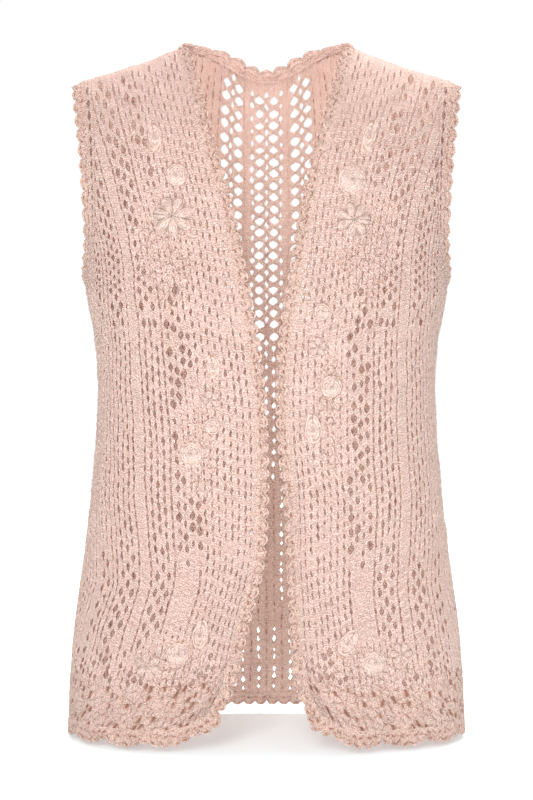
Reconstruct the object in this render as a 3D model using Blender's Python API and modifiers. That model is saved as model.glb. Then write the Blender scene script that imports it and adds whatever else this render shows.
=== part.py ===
"""Crochet vest, open down the front and sleeveless, standing in the round as it is worn.

Metres, +Z up. The front faces -Y. Left and right are the wearer's, so the right front is at -X.
The origin lies between the two shoulder seams, level with their neck ends, where a wearer holds the vest up.
Every panel is a wall laid on one worn form, which is a stack of rounded sections.
"""

import math
from collections import namedtuple

import bmesh
import bpy
from mathutils import Vector
from mathutils.bvhtree import BVHTree

MM = 0.001
FLIP = Vector((-1, 1, 1))  # to the other side of the centre line

# ---------------------------------------------------------------- driving sizes, in millimetres
WALL = 2.4  # thickness of the crochet cloth
SEAM_GAP = 0.5  # between two panels that are sewn edge to edge
TRIM_GAP = 0.6  # between a panel and the border worked on to it
NECK_HALF = 82.0  # centre line to the neck end of a shoulder seam
SHOULDER_TIP = 171.0  # centre line to the armhole end of a shoulder seam
SHOULDER_FALL = 38.0  # how far the shoulder drops from neck to armhole
SEAM_START = 72.0  # centre line to where the shoulder starts to fall, under the neck border
SEAM_POWER = 0.7  # below 1 the shoulder falls faster near the neck
SHOULDER_ROUND = 95.0  # height over which the cloth rolls from the seam to full depth
UNDERARM = -232.0  # height of the bottom of the armhole
HEM = -636.0  # height of the panels' lower edge
CORNER_LIFT = 20.0  # how much the rounded front corner rises above the hem
BACK_NECK_DROP = 37.0  # depth of the back neck below the neck ends
CORNER_POWER = 14  # how sharply the hem turns up into the front corner
BLUNTNESS = 2.4  # 2 makes each section an ellipse, more makes it boxier
ROLL_POWER = 0.6  # how quickly the cloth reaches full depth below the shoulder seam

Section = namedtuple("Section", "height half_width front_depth back_depth")
SECTIONS = (
    Section(20, 208, 60, 56),
    Section(-40, 202, 80, 71),
    Section(-100, 189, 98, 84),
    Section(-145, 179, 108, 88),
    Section(-190, 170, 115, 90),
    Section(-235, 168, 119, 87),
    Section(-280, 160, 117, 82),
    Section(-330, 157.5, 113, 78),
    Section(-400, 162, 108, 79),
    Section(-480, 171, 105, 90),
    Section(-560, 182, 106, 101),
    Section(-680, 189.5, 109, 108),
)

# Distance from the centre line to the edge of each front, before its border is added.
FrontEdge = namedtuple("FrontEdge", "height right left")
FRONT_EDGES = (
    FrontEdge(0, 82, 82),
    FrontEdge(-54, 67, 66),
    FrontEdge(-97, 56, 53),
    FrontEdge(-141, 43, 43),
    FrontEdge(-185, 33, 35),
    FrontEdge(-225, 25, 28),
    FrontEdge(-265, 18, 22),
    FrontEdge(-311, 12, 19),
    FrontEdge(-360, 9, 20),
    FrontEdge(-420, 8.5, 25),
    FrontEdge(-476, 12, 27),
    FrontEdge(-530, 25, 30),
    FrontEdge(-565, 33, 33),
    FrontEdge(-595, 41, 38),
    FrontEdge(-614, 52, 47),
)

# Soft vertical folds in the fronts: a trough (minus) or ridge (plus) that fades out at both ends.
Fold = namedtuple("Fold", "side top bottom x_top x_bottom width depth")
FOLD_FADE = 3  # a fold reaches its full depth in this fraction of its length
FOLDS = (
    Fold("right", -400, -640, 38, 80, 12, -4.0),
    Fold("right", -430, -640, 62, 112, 14, 3.0),
    Fold("left", -330, -600, 30, 34, 7, -3.5),
    Fold("left", -450, -640, 70, 84, 14, 3.0),
    Fold("left", -500, -640, 108, 120, 13, -3.0),
    Fold("back", -380, -640, 45, 70, 22, -4.0),
    Fold("back", -400, -640, -60, -95, 24, -4.0),
)

# Crochet motifs that stand up from the fronts.
Motif = namedtuple("Motif", "name side x height radius lobes stretch tilt")
MOTIFS = (
    Motif("chest_flower", "right", 84, -164, 19, 7, 1.0, 10),
    Motif("chest_rosette", "right", 81, -127, 11, 0, 1.0, 0),
    Motif("chest_leaf", "right", 101, -93, 7, 1, 1.8, 80),
    Motif("waist_leaf", "right", 48, -299, 7, 1, 1.5, 80),
    Motif("waist_flower", "right", 50, -329, 9, 5, 1.0, 0),
    Motif("waist_bud", "right", 49, -353, 8, 0, 1.0, 0),
    Motif("waist_rosette", "right", 68, -378, 12, 0, 1.0, 0),
    Motif("hem_flower", "right", 108, -575, 13, 6, 1.0, 20),
    Motif("hem_rosette", "right", 81, -562, 12, 0, 1.0, 0),
    Motif("hem_leaf", "right", 60, -545, 8, 1, 1.6, 100),
    Motif("chest_flower", "left", 78, -167, 16, 7, 1.0, 0),
    Motif("chest_rosette", "left", 77, -131, 14, 0, 1.0, 0),
    Motif("chest_leaf", "left", 93, -92, 7, 1, 2.0, 75),
    Motif("waist_bud", "left", 50, -249, 8, 0, 1.0, 0),
    Motif("waist_flower", "left", 46, -281, 9, 5, 1.0, 15),
    Motif("waist_rosette", "left", 58, -317, 11, 0, 1.0, 0),
    Motif("waist_leaf", "left", 42, -356, 8, 1, 1.6, 95),
    Motif("hem_rosette", "left", 98, -571, 12, 0, 1.0, 0),
    Motif("hem_flower", "left", 123, -565, 11, 6, 1.0, 0),
    Motif("hem_leaf", "left", 74, -552, 8, 1, 1.5, 60),
)
MOTIF_GAP = 0.9  # under each motif
MOTIF_RIM = 1.6  # thickness at a motif's edge
MOTIF_CROWN = 3.0  # thickness in its middle

# Scalloped borders: width out from the panel, rise of each scallop and its length along the edge.
Border = namedtuple("Border", "width rise pitch")
FRONT_BORDER = Border(8.0, 4.0, 21.0)
HEM_BORDER = Border(8.0, 4.0, 15.0)
NECK_BORDER = Border(11.0, 4.0, 17.5)
ARMHOLE_BORDER = Border(8.0, 3.5, 24.0)
ARMHOLE_LEAN = 0.3  # how far the armhole borders lean out from the body
SHOULDER_LEAN = 0.75  # extra room at the shoulder seams, where the two walls lean on each other

# Mesh fineness
FRONT_COLUMNS, BACK_COLUMNS, ROWS = 10, 20, 20
STEPS_A_SCALLOP = 3
STATION_ROOM = 1.5  # least distance along an edge between two rows of a border
ARMHOLE_ROWS = 7  # rows that lie beside the armhole
UNDERARM_SHARE = ARMHOLE_ROWS / ROWS
SEAM_COLUMNS = 4  # columns of half the back that end at the shoulder seam
SEAM_SHARE = SEAM_COLUMNS / (BACK_COLUMNS // 2)


# ---------------------------------------------------------------- the worn form
def from_table(rows, column, height):
    """A column of a table at any height, on a smooth curve through its rows, which run from the top down."""
    points = [(-row.height, getattr(row, column)) for row in rows]
    at = min(max(-height, points[0][0]), points[-1][0])
    i = max(k for k in range(len(points) - 1) if points[k][0] <= at)

    def slope(k):
        low, high = points[max(k - 1, 0)], points[min(k + 1, len(points) - 1)]
        return (high[1] - low[1]) / (high[0] - low[0])

    span = points[i + 1][0] - points[i][0]
    t = (at - points[i][0]) / span
    return (
        points[i][1] * (1 + 2 * t) * (1 - t) ** 2
        + points[i + 1][1] * t * t * (3 - 2 * t)
        + slope(i) * span * t * (1 - t) ** 2
        - slope(i + 1) * span * t * t * (1 - t)
    )


def seam_height(x):
    """Height of the shoulder seam at a distance x from the centre line."""
    share = max(abs(x) - SEAM_START, 0) / (SHOULDER_TIP - SEAM_START)
    return -SHOULDER_FALL * share**SEAM_POWER


def unit_section(turn):
    """A point of the blunt unit ellipse, from the side (turn 0) to the centre line (90 degrees)."""
    c, s = math.cos(turn), math.sin(turn)
    reach = (abs(c) ** BLUNTNESS + abs(s) ** BLUNTNESS) ** (-1 / BLUNTNESS)
    return c * reach, s * reach


def turn_at(x, height):
    """The turn round the section at which the cloth is x from the centre line."""
    across = x / from_table(SECTIONS, "half_width", height)
    return math.atan2((1 - min(abs(across), 1) ** BLUNTNESS) ** (1 / BLUNTNESS), across)


def fold_depth(part, x, height):
    """How far the folds move a panel out at a point."""
    total = 0.0
    for fold in FOLDS:
        run = (fold.top - height) / (fold.top - fold.bottom)
        if fold.side != part or run <= 0:
            continue
        centre = fold.x_top + (fold.x_bottom - fold.x_top) * run
        total += fold.depth * min(run * FOLD_FADE, 1) ** 2 * math.exp(-(((x - centre) / fold.width) ** 2))
    return total


def form(part, turn, height):
    """The middle of the cloth, in millimetres. part is right, left or back, and turn may pass 90 degrees."""
    across, deep = unit_section(turn)
    x = across * from_table(SECTIONS, "half_width", height)
    drop = min(max((seam_height(x) - height) / SHOULDER_ROUND, 0), 1)
    roll = math.sin(math.pi / 2 * drop) ** ROLL_POWER
    depth = from_table(SECTIONS, "back_depth" if part == "back" else "front_depth", height)
    y = deep * depth * roll + fold_depth(part, x, height) * deep
    return Vector((-x if part == "right" else x, y if part == "back" else -y, height))


def outward(part, turn, height):
    """The direction out of the cloth."""
    turn_step, rise = 0.0005, 0.5
    along = form(part, turn + turn_step, height) - form(part, turn - turn_step, height)
    up = form(part, turn, height + rise) - form(part, turn, height - rise)
    normal = along.cross(up).normalized()
    inside = Vector((0, 0, height - SHOULDER_FALL))
    return normal if normal.dot(form(part, turn, height) - inside) > 0 else -normal


# ---------------------------------------------------------------- panel outlines, as (turn, height)
def armhole(share):
    """The armhole's edge, from the shoulder seam (0) to the underarm (1)."""
    top = seam_height(SHOULDER_TIP)
    height = top + (UNDERARM - top) * math.sin(math.pi / 2 * share)
    return turn_at(SHOULDER_TIP, top) * math.cos(math.pi / 2 * share), height


def side_edge(share):
    """The outer edge of a half panel: down the armhole, then down the side seam to the hem."""
    if share < UNDERARM_SHARE:
        return armhole(share / UNDERARM_SHARE)
    down = (share - UNDERARM_SHARE) / (1 - UNDERARM_SHARE)
    return 0.0, UNDERARM + (HEM - UNDERARM) * down


def shoulder_edge(share):
    """The shoulder seam, from the armhole (0) to the neck (1)."""
    x = SHOULDER_TIP + (NECK_HALF - SHOULDER_TIP) * share
    return turn_at(x, seam_height(x)), seam_height(x)


def front_edge(part, share):
    """The neck and front edge of one front, from the shoulder seam to the rounded corner at the hem."""
    top, bottom = seam_height(NECK_HALF), HEM + CORNER_LIFT
    height = top + (bottom - top) * share
    return turn_at(from_table(FRONT_EDGES, part, height), height), height


def front_hem(part, share):
    """The hem of one front, from the side seam to the rounded corner."""
    corner, _ = front_edge(part, 1)
    return corner * share, HEM + CORNER_LIFT * share**CORNER_POWER


def back_top(share):
    """The top of half the back: along the shoulder seam, then down the neck to the centre."""
    if share <= SEAM_SHARE:
        return shoulder_edge(share / SEAM_SHARE)
    x = NECK_HALF * (1 - (share - SEAM_SHARE) / (1 - SEAM_SHARE))
    fall = BACK_NECK_DROP * math.cos(math.pi / 2 * x / NECK_HALF) ** 2
    height = seam_height(NECK_HALF) - fall
    return turn_at(x, height), height


def patch(outer, inner, top, bottom, across, down):
    """(turn, height) anywhere in a panel. Its four edges are functions of a share from 0 to 1."""
    values = []
    for k in (0, 1):
        blend = (1 - across) * outer(down)[k] + across * inner(down)[k]
        blend += (1 - down) * top(across)[k] + down * bottom(across)[k]
        blend -= (1 - across) * ((1 - down) * outer(0)[k] + down * outer(1)[k])
        blend -= across * ((1 - down) * inner(0)[k] + down * inner(1)[k])
        values.append(blend)
    return tuple(values)


# ---------------------------------------------------------------- making solids
def paint(obj, colour, roughness):
    """Gives an object its own plain cloth material."""
    material = bpy.data.materials.new(obj.name + "_yarn")
    material.use_nodes = True
    shader = material.node_tree.nodes["Principled BSDF"]
    shader.inputs["Base Color"].default_value = (*colour, 1)
    shader.inputs["Roughness"].default_value = roughness
    shader.inputs["Metallic"].default_value = 0
    obj.data.materials.append(material)


PALE_ROSE = (0.80, 0.55, 0.46)
YARN_ROUGHNESS = 0.9


def cloth_object(name, mesh, collection):
    obj = bpy.data.objects.new(name, mesh)
    collection.objects.link(obj)
    paint(obj, PALE_ROSE, YARN_ROUGHNESS)
    return obj


def wall(name, grid, collection, closed=False):
    """A cloth wall: the surface through a grid of points in millimetres, thickened equally to both sides."""
    mesh = bpy.data.meshes.new(name)
    bm = bmesh.new()
    rows = [[bm.verts.new(point * MM) for point in row] for row in grid]
    if closed:
        rows.append(rows[0])
    for upper, lower in zip(rows, rows[1:]):
        for i in range(len(upper) - 1):
            bm.faces.new((upper[i], upper[i + 1], lower[i + 1], lower[i]))
    bmesh.ops.recalc_face_normals(bm, faces=bm.faces[:])
    bm.to_mesh(mesh)
    bm.free()
    mesh.shade_smooth()
    obj = cloth_object(name, mesh, collection)
    thicken = obj.modifiers.new("thickness", "SOLIDIFY")
    thicken.thickness = WALL * MM
    thicken.offset = 0
    return obj


def shares(count):
    return [i / count for i in range(count + 1)]


def seam_shift(part, across, down):
    """Keeps a panel half a gap clear of the panel that it is sewn to, at the shoulder and the side."""
    shift = 0.0
    if down == 0:
        shift = SEAM_GAP / 2 + SHOULDER_LEAN
    elif across == 0:
        shift = SEAM_GAP / 2
    return Vector((0, shift if part == "back" else -shift, 0))


def front_point(part, across, down):
    turn, height = patch(
        side_edge,
        lambda share: front_edge(part, share),
        shoulder_edge,
        lambda share: front_hem(part, share),
        across,
        down,
    )
    return turn, height


def back_point(across, down):
    """Half the back, from the side (0) to the centre (1)."""
    neck = back_top(1)[1]
    return patch(
        side_edge,
        lambda share: (math.pi / 2, neck + (HEM - neck) * share),
        back_top,
        lambda share: (math.pi / 2 * share, HEM),
        across,
        down,
    )


def build_front(part, collection):
    grid = []
    for down in shares(ROWS):
        row = []
        for across in shares(FRONT_COLUMNS):
            row.append(form(part, *front_point(part, across, down)) + seam_shift(part, across, down))
        grid.append(row)
    return wall("front_" + part, grid, collection)


def build_back(collection):
    half = BACK_COLUMNS // 2
    grid = []
    for down in shares(ROWS):
        row = []
        for across in shares(half):
            shift = seam_shift("back", across, down if across <= SEAM_SHARE else 1)
            row.append(form("back", *back_point(across, down)) + shift)
        grid.append(row + [point * FLIP for point in row[-2::-1]])
    return wall("back", grid, collection)


# ---------------------------------------------------------------- scalloped borders
def scallop(border, pitch, length):
    """The border's width at a distance along it: a row of rounded humps with small notches between."""
    return border.width + border.rise * abs(math.sin(math.pi * length / pitch)) ** 0.6


def edge_line(part, places):
    """The corners of a panel's edge, as points with the cloth's direction outwards, from (turn, height)."""
    return [(form(part, *place), outward(part, *place)) for place in places]


def mirrored(line):
    """The same line on the other side of the centre, run back the other way."""
    return [(point * FLIP, normal * FLIP) for point, normal in reversed(line)]


def with_directions(line, inside, ring):
    """Adds to each point of a line its length along the line and the direction away from the cloth."""
    last = len(line) - 1
    result, length = [], 0.0
    for i, (point, normal) in enumerate(line):
        before = line[i - 1] if i > 0 else line[last - 1 if ring else 0]
        after = line[i + 1] if i < last else line[1 if ring else last]
        away = (after[0] - before[0]).cross(normal).normalized()
        if i > 0:
            length += (point - line[i - 1][0]).length
        result.append((length, point, away))
    middle = result[last // 2]
    if middle[2].dot(middle[1] - inside) < 0:
        result = [(length, point, -away) for length, point, away in result]
    return result


def border_wall(name, line, border, inside, collection, end_room=0.0, lean=0.0, ring=False, flipped=False):
    """A border along a line: its inner edge stays clear of the panel, and its outer edge is scalloped.

    A ring's two ends meet. A flipped border is built on the left and then turned over to the right.
    """
    corners = with_directions(line, inside, ring)
    start, end = end_room, corners[-1][0] - end_room
    count = round((end - start) / border.pitch)
    pitch = (end - start) / count
    stations = [start + pitch * k / STEPS_A_SCALLOP for k in range(count * STEPS_A_SCALLOP + 1)]
    for length, _, _ in corners:
        if all(abs(length - station) > STATION_ROOM for station in stations) and start < length < end:
            stations.append(length)
    stations.sort()
    if ring:
        stations.pop()
    rows = []
    for station in stations:
        i = max(k for k in range(len(corners) - 1) if corners[k][0] <= station)
        low, high = corners[i], corners[i + 1]
        t = (station - low[0]) / (high[0] - low[0])
        point = low[1].lerp(high[1], t)
        away = low[2].lerp(high[2], t)
        away = (away + Vector((lean, 0, 0))).normalized()
        gap = TRIM_GAP + WALL / 2 * abs(lean)
        rows.append([point + away * gap, point + away * scallop(border, pitch, station - start)])
    if flipped:
        rows = [[point * FLIP for point in row] for row in rows]
    return wall(name, rows, collection, closed=ring)


def build_borders(collection):
    shoulder_room = SEAM_GAP / 2 + SHOULDER_LEAN
    for part in ("right", "left"):
        hem = [front_hem(part, share) for share in shares(FRONT_COLUMNS)]
        edge = [front_edge(part, 1 - share) for share in shares(ROWS)]
        line = edge_line(part, hem + edge[1:])
        inside = form(part, math.radians(45), UNDERARM)
        border_wall("front_border_" + part, line, FRONT_BORDER, inside, collection, end_room=shoulder_room)

    body = form("back", math.pi / 2, UNDERARM)
    neck_shares = shares(BACK_COLUMNS // 2)[SEAM_COLUMNS:]
    neck = edge_line("back", [back_top(share) for share in neck_shares])
    neck += mirrored(neck)[1:]
    border_wall("back_neck_border", neck, NECK_BORDER, body, collection, end_room=shoulder_room)
    hem = edge_line("back", [(math.pi / 2 * share, HEM) for share in shares(BACK_COLUMNS // 2)])
    hem += mirrored(hem)[1:]
    border_wall("back_hem_border", hem, HEM_BORDER, body, collection, end_room=SEAM_GAP / 2)

    hole = [side_edge(share) for share in shares(ROWS)[: ARMHOLE_ROWS + 1]]
    loop = edge_line("left", hole) + edge_line("back", hole)[-2::-1]
    below = form("left", 0, HEM)
    ring = {"lean": ARMHOLE_LEAN, "ring": True}
    border_wall("armhole_border_left", loop, ARMHOLE_BORDER, below, collection, **ring)
    border_wall("armhole_border_right", loop, ARMHOLE_BORDER, below, collection, flipped=True, **ring)


# ---------------------------------------------------------------- motifs
def motif_outline(motif, angle):
    """Distance from a motif's middle to its edge: round, in petals, or pointed like a leaf."""
    if motif.lobes == 0:
        return motif.radius
    if motif.lobes == 1:
        return motif.radius * motif.stretch / math.hypot(math.cos(angle), motif.stretch * math.sin(angle))
    return motif.radius * (0.80 + 0.20 * abs(math.cos(motif.lobes * angle / 2)))


def on_panel(panel, x, height):
    """The place and the direction outwards of a panel's outer face, at an x and a height."""
    place, normal, _, _ = panel.ray_cast(Vector((x, -1, height)), Vector((0, 1, 0)))
    return place, normal


def build_motif(motif, panel, collection):
    """A crowned disc whose underside follows the front's outer face."""
    spokes = max(2 * motif.lobes, 10)
    rings = 3 if motif.lobes == 1 else 2
    hand = -1 if motif.side == "right" else 1
    layers = []
    for top in (True, False):
        layer = []
        for ring in range(rings + 1):
            share = ring / rings
            rise = MOTIF_RIM + (MOTIF_CROWN - MOTIF_RIM) * (1 - share**2) if top else 0
            points = []
            for spoke in range(spokes if ring else 1):
                angle = 2 * math.pi * spoke / spokes
                reach = motif_outline(motif, angle) * share
                heading = angle + math.radians(motif.tilt)
                x = hand * (motif.x + reach * math.cos(heading))
                height = motif.height + reach * math.sin(heading)
                place, normal = on_panel(panel, x * MM, height * MM)
                points.append(place / MM + normal * (MOTIF_GAP + rise))
            layer.append(points)
        layers.append(layer)
    name = f"{motif.name}_{motif.side}"
    mesh = bpy.data.meshes.new(name)
    bm = bmesh.new()
    top, bottom = ([[bm.verts.new(p * MM) for p in ring] for ring in layer] for layer in layers)
    for layer in (top, bottom):
        for k in range(spokes):
            nxt = (k + 1) % spokes
            bm.faces.new((layer[0][0], layer[1][k], layer[1][nxt]))
            for ring in range(1, rings):
                bm.faces.new((layer[ring][k], layer[ring + 1][k], layer[ring + 1][nxt], layer[ring][nxt]))
    for k in range(spokes):
        nxt = (k + 1) % spokes
        bm.faces.new((top[rings][k], bottom[rings][k], bottom[rings][nxt], top[rings][nxt]))
    bmesh.ops.recalc_face_normals(bm, faces=bm.faces[:])
    bm.to_mesh(mesh)
    bm.free()
    mesh.shade_smooth()
    mesh.set_sharp_from_angle(angle=math.radians(50))
    return cloth_object(name, mesh, collection)


def main():
    for obj in list(bpy.data.objects):
        bpy.data.objects.remove(obj)
    vest = bpy.data.collections.new("crochet_vest")
    bpy.context.scene.collection.children.link(vest)
    fronts = {part: build_front(part, vest) for part in ("right", "left")}
    build_back(vest)
    build_borders(vest)
    bpy.context.view_layer.update()
    depsgraph = bpy.context.evaluated_depsgraph_get()
    panels = {part: BVHTree.FromObject(front, depsgraph) for part, front in fronts.items()}
    for motif in MOTIFS:
        build_motif(motif, panels[motif.side], vest)


main()
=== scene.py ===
"""Crochet vest: its looks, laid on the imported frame, which is in metres with +Z up and the front at -Y.

Right and left are the wearer's, so the right front is at -X. Sizes here are millimetres unless said.
"""

import math
from collections import namedtuple
from functools import partial

import bpy
import numpy as np
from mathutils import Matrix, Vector


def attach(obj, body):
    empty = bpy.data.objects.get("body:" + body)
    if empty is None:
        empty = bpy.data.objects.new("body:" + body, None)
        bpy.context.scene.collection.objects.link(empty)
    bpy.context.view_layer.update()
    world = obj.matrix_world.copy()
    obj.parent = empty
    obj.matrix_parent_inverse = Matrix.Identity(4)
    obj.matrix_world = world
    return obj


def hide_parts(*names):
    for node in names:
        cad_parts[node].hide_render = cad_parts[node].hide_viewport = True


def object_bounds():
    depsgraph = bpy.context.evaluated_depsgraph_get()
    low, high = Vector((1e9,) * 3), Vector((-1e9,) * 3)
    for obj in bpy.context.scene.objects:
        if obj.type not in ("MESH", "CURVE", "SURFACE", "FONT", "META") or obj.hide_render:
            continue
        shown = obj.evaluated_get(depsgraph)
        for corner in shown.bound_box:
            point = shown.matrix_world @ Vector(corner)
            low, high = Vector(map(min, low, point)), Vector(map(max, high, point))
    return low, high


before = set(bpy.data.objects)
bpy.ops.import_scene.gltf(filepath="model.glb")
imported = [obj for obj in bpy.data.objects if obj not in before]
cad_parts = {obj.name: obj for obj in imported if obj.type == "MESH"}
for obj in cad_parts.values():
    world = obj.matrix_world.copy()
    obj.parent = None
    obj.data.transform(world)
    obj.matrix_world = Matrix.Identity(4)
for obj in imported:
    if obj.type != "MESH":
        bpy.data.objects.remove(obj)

cad_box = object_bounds()

# ---------------- camera
# A long lens at chest height, level with the vest's middle, as a catalogue photograph of clothes is taken.


def put_up(name, data, place, target):
    """A camera or lamp at a place in metres, turned to a target."""
    thing = bpy.data.objects.new(name, data)
    thing.location = place
    thing.rotation_euler = (Vector(target) - thing.location).to_track_quat("-Z", "Y").to_euler()
    bpy.context.collection.objects.link(thing)
    return thing


lens = bpy.data.cameras.new("catalogue_camera")
lens.lens = 119.3
bpy.context.scene.camera = put_up("catalogue_camera", lens, (0, -2.5, -0.165), (0, 0, -0.337))

# ---------------- studio
# A white acrylic light table, lit a little from below, in a white room. Two soft lamps by the camera light
# the front and the inside of the back. One hangs above, and one behind shines through the thin back.
bpy.context.scene.view_settings.view_transform = "Standard"


def linear(hex_colour):
    """An sRGB hex colour as linear values with full alpha."""
    channels = [int(hex_colour[k : k + 2], 16) / 255 for k in (1, 3, 5)]
    return [c / 12.92 if c <= 0.04045 else ((c + 0.055) / 1.055) ** 2.4 for c in channels] + [1.0]


def add_node(tree, kind, settings=None, **links):
    """Adds a shader node of a kind, or takes one that is there, and gives its outputs. Settings are its own
    properties. Links are its inputs by name or number (i0), each a value or another node's output."""
    node = tree.nodes.new("ShaderNode" + kind) if isinstance(kind, str) else kind
    for name, value in (settings or {}).items():
        setattr(node, name, value)
    for name, value in links.items():
        socket = node.inputs[int(name[1:]) if name[1:].isdigit() else name.replace("_", " ")]
        if isinstance(value, bpy.types.NodeSocket):
            tree.links.new(value, socket)
        else:
            socket.default_value = value
    return node.outputs


white_acrylic = bpy.data.materials.new("matt_white_acrylic")
white_acrylic.use_nodes = True
add_node(
    white_acrylic.node_tree, white_acrylic.node_tree.nodes["Principled BSDF"],
    Base_Color=linear("#E4F1F4"), Roughness=0.9, Specular_IOR_Level=0.1,
    Emission_Color=linear("#FFFFFF"), Emission_Strength=0.32,
)

FLOOR = cad_box[0][2] - 0.0075  # the table, just under the lowest scallop, in metres
bpy.ops.object.select_all(action="DESELECT")
bpy.ops.mesh.primitive_plane_add(size=4, location=(0, 0.2, FLOOR))
floor = bpy.context.object
floor.name = "light_table"
bpy.ops.object.transform_apply(location=True)
floor.data.materials.append(white_acrylic)

ROOM_LIGHT, ROOM_SEEN = 0.52, 1.0  # how strongly the white room lights the vest, and how white it looks
room = bpy.context.scene.world or bpy.data.worlds.new("white_room")
bpy.context.scene.world = room
room.use_nodes = True
seen = add_node(room.node_tree, "LightPath")["Is Camera Ray"]
glow = add_node(room.node_tree, "MapRange", i0=seen, i3=ROOM_LIGHT, i4=ROOM_SEEN)[0]
add_node(room.node_tree, room.node_tree.nodes["Background"], Color=(1, 1, 1, 1), Strength=glow)

Lamp = namedtuple("Lamp", "name place size watts")  # in metres
for lamp in (
    Lamp("soft_front_left", (-0.45, -2.9, 0.75), 0.9, 61),
    Lamp("soft_front_right", (0.5, -2.9, -0.1), 0.9, 20),
    Lamp("soft_top", (0, 1.2, 3.0), 3.0, 68),
    Lamp("soft_back", (0.3, 0.8, 0.75), 0.7, 25),
):
    light = bpy.data.lights.new(lamp.name, "AREA")
    light.size = lamp.size
    light.energy = lamp.watts
    put_up(lamp.name, light, lamp.place, (0, 0, -0.3))

# ---------------- fronts
# Each front is an open crochet panel in fine mercerised cotton: ribs of close stitches that run down it,
# with columns of slits and staggered diamond nets between them. It is sewn at the shoulder and the side.
MM = 0.001
NECK_HALF = 82.0  # centre line to the neck end of a shoulder seam
SHOULDER_TIP = 171.0  # centre line to the armhole end of a shoulder seam
SHOULDER_FALL = 38.0  # drop of the shoulder
SEAM_START = 72.0  # centre line to where the shoulders begin to fall
SEAM_POWER = 0.7  # under 1, the shoulder falls fastest beside the neck
SHOULDER_ROUND = 95.0  # height over which the cloth rolls from the seam to full depth
UNDERARM = -232.0  # height of the armhole's lowest point
HEM = -636.0  # height of the hem
CORNER_LIFT = 20.0  # rise of the rounded front corner above the hem
CORNER_POWER = 14  # how suddenly the hem turns up at the corner
BLUNTNESS = 2.4  # 2 makes each section an ellipse, more makes it boxier
ROLL_POWER = 0.6  # under 1, the roll at the shoulder is fuller than a quarter round
UNDERARM_SHARE = 0.35  # share of a panel's rows that lie beside the armhole
SEAM_GAP = 0.1  # between the middles of the cloth at a seam, so that no light shows through
SHOULDER_LEAN = 0.3  # how far each side of a shoulder seam leans off it

Section = namedtuple("Section", "height half_width front_depth back_depth")
SECTIONS = [Section(*row) for row in (
    (20, 208, 60, 56),
    (-40, 202, 80, 71),
    (-100, 189, 98, 84),
    (-145, 179, 108, 88),
    (-190, 170, 115, 90),
    (-235, 168, 119, 87),
    (-280, 160, 117, 82),
    (-330, 157.5, 113, 78),
    (-400, 162, 108, 79),
    (-480, 171, 105, 90),
    (-560, 182, 106, 101),
    (-680, 189.5, 109, 108),
)]

# Distance from the centre line to the edge of each front.
FrontEdge = namedtuple("FrontEdge", "height right left")
FRONT_EDGES = [FrontEdge(*row) for row in (
    (0, 82, 82),
    (-54, 67, 66),
    (-97, 56, 53),
    (-141, 43, 43),
    (-185, 33, 35),
    (-225, 25, 28),
    (-265, 18, 22),
    (-311, 12, 19),
    (-360, 9, 20),
    (-420, 8.5, 25),
    (-476, 12, 27),
    (-530, 25, 30),
    (-565, 33, 33),
    (-595, 41, 38),
    (-614, 52, 47),
)]

# Soft vertical folds: a trough (minus) or ridge (plus) that fades in downwards.
Fold = namedtuple("Fold", "side top bottom x_top x_bottom width depth")
FOLDS = [Fold(*row) for row in (
    ("right", -400, -640, 38, 80, 12, -4.0),
    ("right", -430, -640, 62, 112, 14, 3.0),
    ("left", -330, -600, 30, 34, 7, -3.5),
    ("left", -450, -640, 70, 84, 14, 3.0),
    ("left", -500, -640, 108, 120, 13, -3.0),
    ("back", -380, -640, 45, 70, 22, -4.0),
    ("back", -400, -640, -60, -95, 24, -4.0),
)]


def from_table(rows, column, height):
    """A column of a table at any heights, on a smooth curve through its rows, which run downwards."""
    at = -np.array([row.height for row in rows], float)
    value = np.array([getattr(row, column) for row in rows], float)
    low = np.maximum(np.arange(len(at)) - 1, 0)
    high = np.minimum(np.arange(len(at)) + 1, len(at) - 1)
    slope = (value[high] - value[low]) / (at[high] - at[low])
    x = np.clip(-np.asarray(height, float), at[0], at[-1])
    i = np.clip(np.searchsorted(at, x, side="right") - 1, 0, len(at) - 2)
    span = at[i + 1] - at[i]
    t = (x - at[i]) / span
    return (
        value[i] * (1 + 2 * t) * (1 - t) ** 2
        + value[i + 1] * t * t * (3 - 2 * t)
        + slope[i] * span * t * (1 - t) ** 2
        - slope[i + 1] * span * t * t * (1 - t)
    )


def seam_height(x):
    """Height of the shoulder seam at a distance x from the centre line."""
    share = np.maximum(np.abs(x) - SEAM_START, 0) / (SHOULDER_TIP - SEAM_START)
    return -SHOULDER_FALL * share**SEAM_POWER


def turn_at(x, height):
    """The turn round the section, from the side (0) to the centre (90 degrees), at a distance x from it."""
    across = x / from_table(SECTIONS, "half_width", height)
    return np.arctan2((1 - np.minimum(np.abs(across), 1) ** BLUNTNESS) ** (1 / BLUNTNESS), across)


def form(part, turn, height):
    """The middle of the worn cloth. part is right, left or back."""
    c, s = np.cos(turn), np.sin(turn)
    reach = (np.abs(c) ** BLUNTNESS + np.abs(s) ** BLUNTNESS) ** (-1 / BLUNTNESS)
    x = c * reach * from_table(SECTIONS, "half_width", height)
    drop = np.clip((seam_height(x) - height) / SHOULDER_ROUND, 0, 1)
    roll = np.sin(np.pi / 2 * drop) ** ROLL_POWER
    depth = from_table(SECTIONS, "back_depth" if part == "back" else "front_depth", height) * roll
    for fold in FOLDS:
        run = np.maximum((fold.top - height) / (fold.top - fold.bottom), 0)
        centre = fold.x_top + (fold.x_bottom - fold.x_top) * run
        if fold.side == part:
            fade_in = np.minimum(run * 3, 1) ** 2
            depth = depth + fold.depth * fade_in * np.exp(-(((x - centre) / fold.width) ** 2))
    y = s * reach * depth
    return np.stack((-x if part == "right" else x, y if part == "back" else -y, height + 0 * x), axis=-1)


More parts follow.
